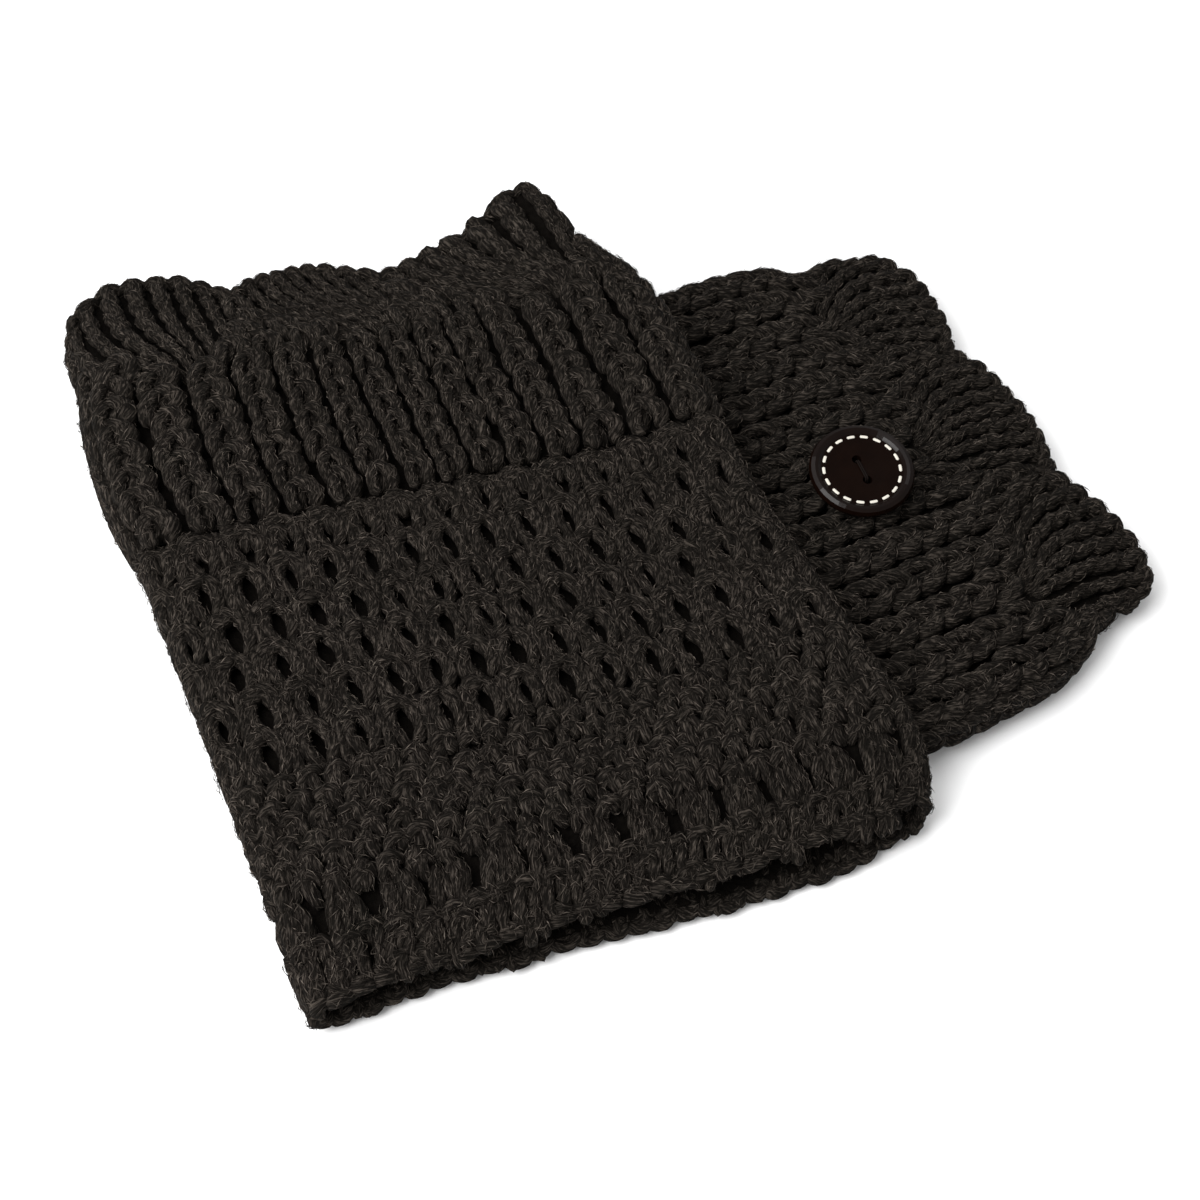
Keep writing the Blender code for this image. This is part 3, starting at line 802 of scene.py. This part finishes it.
def yarn_group():
    """Heathered yarn: fibres drawn along the yarn's own length, wound as plies."""
    tree = bpy.data.node_groups.new("Heathered yarn", "ShaderNodeTree")
    for name, kind, value in (
        ("Dark", "NodeSocketColor", (0.012, 0.010, 0.008, 1.0)),
        ("Light", "NodeSocketColor", (0.10, 0.09, 0.08, 1.0)),
        ("Plies", "NodeSocketFloat", 3.0),
        ("Pitch", "NodeSocketFloat", 9.0),
    ):
        tree.interface.new_socket(name, in_out="INPUT", socket_type=kind).default_value = value
    for name, kind in (
        ("Colour", "NodeSocketColor"), ("Height", "NodeSocketFloat"), ("Roughness", "NodeSocketFloat")
    ):
        tree.interface.new_socket(name, in_out="OUTPUT", socket_type=kind)
    entry = tree.nodes.new("NodeGroupInput")
    leave = tree.nodes.new("NodeGroupOutput")
    around, run = yarn_place(tree)
    twisted = math_node(tree, "ADD", around, math_node(tree, "DIVIDE", run, entry.outputs["Pitch"]))
    ply = math_node(tree, "MULTIPLY", twisted, entry.outputs["Plies"])
    ply_sine = math_node(tree, "SINE", math_node(tree, "MULTIPLY", ply, math.pi))
    ply_wave = math_node(tree, "ABSOLUTE", ply_sine)
    angle = math_node(tree, "MULTIPLY", twisted, 2.0 * math.pi)
    spot = add_node(tree, "CombineXYZ", {
        0: math_node(tree, "COSINE", angle),
        1: math_node(tree, "SINE", angle),
        2: math_node(tree, "MULTIPLY", run, 0.16),
    }).outputs[0]
    fibres = noise(tree, spot, 4.0, 3.0, 0.6)
    heather = noise(tree, spot, 1.3, 2.0)
    streak = add_node(tree, "MapRange", {"From Min": 0.45, "From Max": 0.65, "Value": fibres})
    patch = add_node(tree, "MapRange", {
        "From Min": 0.3, "From Max": 0.7, "To Min": 0.45, "Value": heather
    })
    light = math_node(tree, "MULTIPLY", math_node(tree, "POWER", streak.outputs[0], 1.6), patch.outputs[0])
    colour = colour_between(tree, light, entry.outputs["Dark"], entry.outputs["Light"])
    fine = math_node(tree, "MULTIPLY", fibres, 0.7)
    height = math_node(tree, "ADD", math_node(tree, "MULTIPLY", ply_wave, 0.5), fine)
    rough = math_node(tree, "ADD", math_node(tree, "MULTIPLY", fibres, 0.2), 0.75)
    tree.links.new(colour, leave.inputs["Colour"])
    tree.links.new(height, leave.inputs["Height"])
    tree.links.new(rough, leave.inputs["Roughness"])
    return tree


def button_place():
    """Turn and place of the leaning button, as rows of its own directions and its middle."""
    lean = math.radians(BUTTON_LEAN)
    toward = Vector((*BUTTON_LEAN_TOWARD, 0.0)).normalized()
    turned = Matrix.Rotation(lean, 3, Vector((0.0, 0.0, 1.0)).cross(toward))
    seat = CUFF_HEIGHT + GAP + BUTTON_FOOT * math.sin(lean)
    return np.array(turned), np.array([*BUTTON_AT, seat]) + SHIFT


def on_button(place, path, width, depth, sides):
    """Yarns from paths in the button's own millimetres, raised from its face."""
    turned, middle = place
    normals = np.broadcast_to(turned[:, 2], path.shape)
    return Yarns(path @ turned.T + middle, normals, width, depth, sides, np.zeros(len(path)))


def camera_place():
    """Place and turn of the camera in the frame."""
    turn = Matrix((CAMERA_RIGHT, [-part for part in CAMERA_DOWN], [-part for part in CAMERA_VIEW]))
    return Matrix.Translation(Vector((CAMERA_AT + SHIFT) * MM)) @ turn.transposed().to_4x4()


def new_material(name, roughness, specular):
    """A new material, its nodes and its shader, as rough and as shiny as told."""
    material = bpy.data.materials.new(name)
    material.use_nodes = True
    shader = material.node_tree.nodes["Principled BSDF"]
    shader.inputs["Roughness"].default_value = roughness
    shader.inputs["Specular IOR Level"].default_value = specular
    return material, material.node_tree, shader


def opaque(colour, share=1.0):
    """A colour at a share of its brightness, not see-through."""
    return (*[share * part for part in colour], 1.0)


def piece_place(tree):
    """Place in the piece's own space."""
    return add_node(tree, "TexCoord").outputs["Object"]


def roughen(tree, shader, height, strength, distance):
    """Raise the surface a little by a height."""
    bump = add_node(tree, "Bump", {"Strength": strength, "Distance": distance, "Height": height})
    tree.links.new(bump.outputs["Normal"], shader.inputs["Normal"])


def yarn_material(name, settings):
    """Matt yarn with raised plies and streaks of lighter fibres."""
    material, tree, shader = new_material(name, 0.8, 0.04)
    inputs = {
        "Dark": opaque(settings.dark), "Light": opaque(settings.light),
        "Plies": settings.plies, "Pitch": settings.pitch / MM,
    }
    shared = bpy.data.node_groups.get("Heathered yarn") or yarn_group()
    group = add_node(tree, "Group", inputs, node_tree=shared)
    tree.links.new(group.outputs["Colour"], shader.inputs["Base Color"])
    tree.links.new(group.outputs["Roughness"], shader.inputs["Roughness"])
    roughen(tree, shader, group.outputs["Height"], 0.9, 0.0007)
    return material


def fibre_material(name, settings):
    """Loose fibres, each of one shade between the yarn's dark and light."""
    material, tree, shader = new_material(name, 0.8, 0.05)
    lightness = math_node(tree, "POWER", yarn_place(tree)[0], 2.2)
    colour = colour_between(tree, lightness, opaque(settings.dark), opaque(settings.light, 1.9))
    tree.links.new(colour, shader.inputs["Base Color"])
    return material


def shaded_ground_material(name, settings):
    """The cloth's inner face, which lies in shade: the same yarn with a fine tangle of fibres, its colours
    darkened as painted shade.
    """
    material, tree, shader = new_material(name, 0.95, 0.02)
    tangle = noise(tree, piece_place(tree), 900.0, 4.0)
    # Painted shade: the yarn's dark and light at 0.3 and 0.09 of their brightness stand for the shade
    # between the yarns
    colour = colour_between(tree, tangle, opaque(settings.dark, 0.3), opaque(settings.light, 0.09))
    tree.links.new(colour, shader.inputs["Base Color"])
    roughen(tree, shader, tangle, 0.8, 0.0008)
    return material


def button_material(name, settings, middle):
    """Dark plastic with a faint cloudy grain: a satin face and a more polished rim."""
    material, tree, shader = new_material(name, 0.20, 0.03)
    place = piece_place(tree)
    grain = noise(tree, place, 260.0, 5.0)
    colour = colour_between(tree, grain, opaque(settings.colour, 0.55), opaque(settings.colour, 1.5))
    tree.links.new(colour, shader.inputs["Base Color"])
    roughen(tree, shader, grain, 0.12, 0.0003)
    away = add_node(tree, "VectorMath", {0: place, 1: middle}, operation="DISTANCE").outputs["Value"]
    start, end = BUTTON_RIM
    inputs = {"From Min": start * MM, "From Max": end * MM, "To Max": 0.16, "Value": away}
    rim = add_node(tree, "MapRange", inputs)
    tree.links.new(rim.outputs["Result"], shader.inputs["Coat Weight"])
    shader.inputs["Coat Roughness"].default_value = 0.08
    return material


def painted_material(name, colour, roughness):
    """A plain hue with a fine, uneven surface."""
    material, tree, shader = new_material(name, roughness, 0.1)
    grain = noise(tree, piece_place(tree), 2500.0, 2.0)
    colour = colour_between(tree, grain, opaque(colour, 0.8), opaque(colour))
    tree.links.new(colour, shader.inputs["Base Color"])
    return material


def shared_material(name, make, settings):
    """The named material, made the first time that it is asked for."""
    return bpy.data.materials.get(name) or make(name, settings)


class YarnSettings(bpy.types.PropertyGroup):
    """Colour and make of the yarn."""
    dark: bpy.props.FloatVectorProperty(
        name="Dark fibres", description="Colour of the darker fibres", subtype="COLOR",
        size=3, min=0.0, max=1.0, default=(0.0040, 0.0033, 0.0026),
    )
    light: bpy.props.FloatVectorProperty(
        name="Light fibres", description="Colour of the lighter, heathered fibres", subtype="COLOR",
        size=3, min=0.0, max=1.0, default=(0.056, 0.0465, 0.0385),
    )
    plies: bpy.props.FloatProperty(
        name="Plies", description="Number of plies twisted into the yarn", default=3.0, min=1.0
    )
    pitch: bpy.props.FloatProperty(
        name="Twist", description="Length of one turn of the plies", default=0.024, unit="LENGTH"
    )


class StitchSettings(bpy.types.PropertyGroup):
    """Loose fibres on the stitches, and how far the eyelets close."""
    body_fibres: bpy.props.IntProperty(
        name="Body fibres", description="Loose fibres on a body that shows", default=32500, min=100
    )
    hidden_fibres: bpy.props.IntProperty(
        name="Hidden fibres", description="Loose fibres on the body beneath", default=2000, min=100
    )
    cuff_fibres: bpy.props.IntProperty(
        name="Cuff fibres", description="Loose fibres on each cuff", default=21500, min=100
    )
    closed: bpy.props.FloatProperty(
        name="Closed eyelets", description="How much thicker the yarn is by the right fold", default=0.34
    )


class ButtonSettings(bpy.types.PropertyGroup):
    """The sewn button, its ring of dashes and its thread."""
    colour: bpy.props.FloatVectorProperty(
        name="Button", description="Colour of the button", subtype="COLOR",
        size=3, min=0.0, max=1.0, default=(0.0036, 0.0015, 0.0009),
    )
    dash_colour: bpy.props.FloatVectorProperty(
        name="Dashes", description="Colour of the dashes on the button", subtype="COLOR",
        size=3, min=0.0, max=1.0, default=(0.62, 0.59, 0.52),
    )
    dashes: bpy.props.IntProperty(
        name="Dash count", description="Number of dashes round the ring", default=18, min=1
    )
    ring: bpy.props.FloatProperty(
        name="Ring radius", description="Radius of the ring of dashes", default=0.00835, unit="LENGTH"
    )
    dash: bpy.props.FloatProperty(
        name="Dash length", description="Length of one dash", default=0.0015, unit="LENGTH"
    )


class StageSettings(bpy.types.PropertyGroup):
    """Floor, light and camera."""
    floor: bpy.props.FloatVectorProperty(
        name="Floor", description="Colour of the floor", subtype="COLOR",
        size=3, min=0.0, max=1.0, default=(0.94, 0.94, 0.94),
    )
    key: bpy.props.FloatProperty(
        name="Key light", description="Power of the soft box at the left", default=6.4, unit="POWER"
    )
    lens: bpy.props.FloatProperty(
        name="Lens", description="Focal length in mm on a 36 mm sensor", default=57.0
    )


class LEGWARMERS_OT_body(bpy.types.Operator):
    """Crochet the body of one leg warmer: openwork, dense band, open row and hem"""
    bl_idname = "legwarmers.body"
    bl_label = "Crocheted body"
    lower: bpy.props.BoolProperty(name="Lower leg", description="Make the lower leg's body", default=False)

    def execute(self, context):
        leg = LOWER if self.lower else UPPER
        settings = context.scene.leg_warmer_yarn
        stitches = context.scene.leg_warmer_stitches
        rng = np.random.default_rng(11 if self.lower else 7)
        yarn = shared_material("Body yarn", yarn_material, settings)
        # The inner cloth's material is the yarn darkened as painted shade
        inner = shared_material("Inner yarn", shaded_ground_material, settings)
        node = leg.name + "_crochet_body"
        crochet = partial(loop_yarns, leg, leg.body, rng)
        columns, alongs = places(
            MESH_COLUMNS, MESH_ROWS, -MESH_PITCH, MESH_TOP, MESH_START, MESH_STAGGER
        )
        from_fold = np.minimum(columns, MESH_COLUMNS - columns) / MESH_COLUMNS
        columns = columns + MESH_CREEP * (1.0 - ease(from_fold, (0.04, 0.30)))
        openwork = crochet(columns, alongs, MESH_COLUMNS, MESH_LOOPS, 0.12, stitches.closed)
        columns, alongs = places(DENSE_COLUMNS, DENSE_ROWS, DENSE_PITCH, DENSE_FROM, 0.0, 0.5)
        dense = crochet(columns, alongs, DENSE_COLUMNS, DENSE_LOOPS, 0.26)
        columns, alongs = places(DENSE_COLUMNS, 1, DENSE_PITCH, SEAM_ROW_AT, 0.0, 0.5)
        dense += crochet(columns, alongs, DENSE_COLUMNS, DENSE_LOOPS)
        columns = np.arange(RIM_COLUMNS, dtype=float)
        rim_at = hem_edge(leg, columns / RIM_COLUMNS) + RIM_IN
        hem = crochet(columns, rim_at, RIM_COLUMNS, RIM_LOOPS, 0.18)
        hem += crochet(columns, RIDGE_AT + 0.0 * columns, RIM_COLUMNS, RIDGE_LOOPS, 0.24)
        columns = np.arange(HEM_COLUMNS, dtype=float)
        posts_at = hem_edge(leg, columns / HEM_COLUMNS) + POSTS_IN
        hem += crochet(columns, posts_at, HEM_COLUMNS, POST_LOOPS, 0.22)
        columns, alongs = places(DENSE_COLUMNS, 2, FILLING_PITCH, FILLING_AT, 0.2, 0.5)
        some = rng.uniform(0.0, 1.0, len(columns)) < FILLING_SHARE
        hem += crochet(columns[some], alongs[some], DENSE_COLUMNS, DENSE_LOOPS, 0.3)
        columns, alongs = places(OPEN_COLUMNS, 1, 1.0, OPEN_AT, OPEN_START)
        hem += crochet(columns, alongs, OPEN_COLUMNS, OPEN_LOOPS, 0.16, stitches.closed)
        yarns = [
            add_yarns(f"{leg.name}_{part}_yarn", laid, yarn, node)
            for part, laid in (("openwork", openwork), ("dense", dense), ("hem", hem))
        ]
        total = stitches.hidden_fibres if self.lower else stitches.body_fibres
        loose = [fuzz(openwork + dense + hem, total, BODY_FIBRE, 0.9, rng)]
        fibres = shared_material("Loose fibres", fibre_material, settings)
        fibre_piece = add_piece(leg.name + "_body_fibres", loose, fibres, [node])
        ground = add_piece(leg.name + "_body_cloth", [body_ground(leg)], inner, [node])
        yarns.append(fibre_piece)
        return {"FINISHED"}


class LEGWARMERS_OT_cuff(bpy.types.Operator):
    """Knit the cuff of one leg warmer: thick ribs that end in six fans"""
    bl_idname = "legwarmers.cuff"
    bl_label = "Ribbed cuff"
    lower: bpy.props.BoolProperty(name="Lower leg", description="Make the lower leg's cuff", default=False)

    def execute(self, context):
        leg = LOWER if self.lower else UPPER
        settings = context.scene.leg_warmer_yarn
        rng = np.random.default_rng(13 if self.lower else 5)
        yarn = shared_material("Cuff yarn", yarn_material, settings)
        # The inner cloth's material is the yarn darkened as painted shade
        inner = shared_material("Inner yarn", shaded_ground_material, settings)
        node = leg.name + "_ribbed_cuff"
        columns, alongs = places(RIBS, RIB_ROWS, RIB_PITCH, SEAM_AT + RIB_START)
        ribs = loop_yarns(leg, leg.cuff, rng, columns, alongs, RIBS, RIB_LOOPS)
        ribs += valley_ribs(leg, rng)
        rib_piece = add_yarns(leg.name + "_rib_yarn", ribs, yarn, node)
        fans = [fan_strands(leg, rng), fan_edging(leg, rng)]
        fan_piece = add_yarns(leg.name + "_fan_yarn", fans, yarn, node)
        fibres = shared_material("Loose fibres", fibre_material, settings)
        total = context.scene.leg_warmer_stitches.cuff_fibres
        loose = [fuzz(ribs + fans, total, CUFF_FIBRE, 0.6, rng)]
        fibre_piece = add_piece(leg.name + "_cuff_fibres", loose, fibres, [node])
        ground = add_piece(leg.name + "_cuff_cloth", [cuff_ground(leg)], inner, [node])
        return {"FINISHED"}


class LEGWARMERS_OT_button(bpy.types.Operator):
    """Polish the sewn button and add its ring of dashes and its thread"""
    bl_idname = "legwarmers.button"
    bl_label = "Button"

    def execute(self, context):
        settings = context.scene.leg_warmer_button
        place = button_place()
        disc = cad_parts["button"]
        centre = disc.matrix_world.inverted() @ (Vector(place[1]) * MM)
        polished = button_material("Polished button", settings, centre)
        for material_slot in disc.material_slots:
            material_slot.material = polished
        middle = np.arange(settings.dashes) + DASH_TURN
        spread = np.linspace(-0.5, 0.5, DASH_STEPS)[None, :] * settings.dash / settings.ring
        angle = 2.0 * math.pi * middle[:, None] / settings.dashes + spread
        ring = settings.ring / MM
        face = BUTTON_FACE + 0.0 * angle
        ring_path = np.stack([ring * np.cos(angle), ring * np.sin(angle), face], axis=-1)
        swing = np.linspace(-1.0, 1.0, DASH_STEPS)[None, :]
        blunt = DASH_THICK + DASH_SWELL * np.cos(swing) + 0.0 * angle
        white = painted_material("White dashes", settings.dash_colour, 0.45)
        dashes = on_button(place, ring_path, blunt, 0.35 * blunt, 8)
        add_piece("button_dashes", [yarn_tubes(dashes)], white, [])
        half = 0.5 * BUTTON_HOLE_SPACING
        step = np.linspace(-1.0, 1.0, THREAD_STEPS)[None, :]
        aside = np.array(THREAD_ASIDE)[:, None] + 0.0 * step
        over = BUTTON_FACE + 0.05 - THREAD_DIP * np.abs(step) ** 14
        thread_path = np.stack([aside, half * 1.04 * step + 0.0 * aside, over + 0.0 * aside], axis=-1)
        brown = painted_material("Sewing thread", settings.colour, 0.8)
        thin = THREAD_THICK + 0.0 * aside
        thread = on_button(place, thread_path, thin, thin, 8)
        add_piece("button_thread", [yarn_tubes(thread)], brown, [])
        return {"FINISHED"}


class LEGWARMERS_OT_stage(bpy.types.Operator):
    """Set the pale floor, the soft lights and the camera at the photo's angle"""
    bl_idname = "legwarmers.stage"
    bl_label = "Stage"

    def execute(self, context):
        settings = context.scene.leg_warmer_stage
        bpy.ops.mesh.primitive_plane_add(size=6.0, location=(0.0, 0.0, 0.0))
        floor = context.object
        floor.name = "floor"
        pale, _, shader = new_material("Pale floor", 0.9, 0.5)
        shader.inputs["Base Color"].default_value = opaque(settings.floor)
        floor.data.materials.append(pale)
        for name, place, size, power in (
            ("Key", (-0.50, -0.16, 0.46), 0.42, settings.key),
            ("Fill", (-0.28, 0.22, 0.85), 0.8, 0.6 * settings.key),
        ):
            lamp = bpy.data.lights.new(name, "AREA")
            lamp.energy = power
            lamp.size = size
            light = bpy.data.objects.new(name, lamp)
            light.location = place
            light.rotation_euler = Vector(place).to_track_quat("Z", "Y").to_euler()
            context.scene.collection.objects.link(light)
        context.scene.view_settings.view_transform = "Standard"
        world = bpy.data.worlds.new("Studio")
        world.use_nodes = True
        world.node_tree.nodes["Background"].inputs["Color"].default_value = (1.0, 1.0, 1.0, 1.0)
        world.node_tree.nodes["Background"].inputs["Strength"].default_value = 0.62
        context.scene.world = world
        lens = bpy.data.cameras.new("Camera")
        lens.lens = settings.lens
        lens.sensor_width = 36.0
        lens.clip_start = 0.01
        camera = bpy.data.objects.new("Camera", lens)
        camera.matrix_world = camera_place()
        context.scene.collection.objects.link(camera)
        context.scene.camera = camera
        return {"FINISHED"}


class LEGWARMERS_PT_panel(bpy.types.Panel):
    """Lists the pieces and their settings"""
    bl_label = "Leg Warmers"
    bl_idname = "LEGWARMERS_PT_panel"
    bl_space_type = "VIEW_3D"
    bl_region_type = "UI"
    bl_category = "Leg Warmers"

    def draw(self, context):
        layout = self.layout
        scene = context.scene
        for settings in SETTINGS:
            group = getattr(scene, settings)
            for name in group.bl_rna.properties.keys():
                if name not in {"rna_type", "name"}:
                    layout.prop(group, name)
        for operator in (LEGWARMERS_OT_body, LEGWARMERS_OT_cuff, LEGWARMERS_OT_button, LEGWARMERS_OT_stage):
            layout.operator(operator.bl_idname)


SETTINGS = {
    "leg_warmer_yarn": YarnSettings,
    "leg_warmer_stitches": StitchSettings,
    "leg_warmer_button": ButtonSettings,
    "leg_warmer_stage": StageSettings,
}
CLASSES = (
    *SETTINGS.values(),
    LEGWARMERS_OT_body,
    LEGWARMERS_OT_cuff,
    LEGWARMERS_OT_button,
    LEGWARMERS_OT_stage,
    LEGWARMERS_PT_panel,
)


def register():
    """Register the classes and hang their settings on the scene."""
    for cls in CLASSES:
        bpy.utils.register_class(cls)
    for name, settings in SETTINGS.items():
        setattr(bpy.types.Scene, name, bpy.props.PointerProperty(type=settings))


def unregister():
    """Take the settings and the classes away again."""
    for name in SETTINGS:
        delattr(bpy.types.Scene, name)
    for cls in reversed(CLASSES):
        bpy.utils.unregister_class(cls)


def main():
    """Make every piece around the frame."""
    register()
    bpy.ops.legwarmers.stage()
    for lower in (False, True):
        bpy.ops.legwarmers.body(lower=lower)
        bpy.ops.legwarmers.cuff(lower=lower)
    bpy.ops.legwarmers.button()


if __name__ == "__main__":
    main()
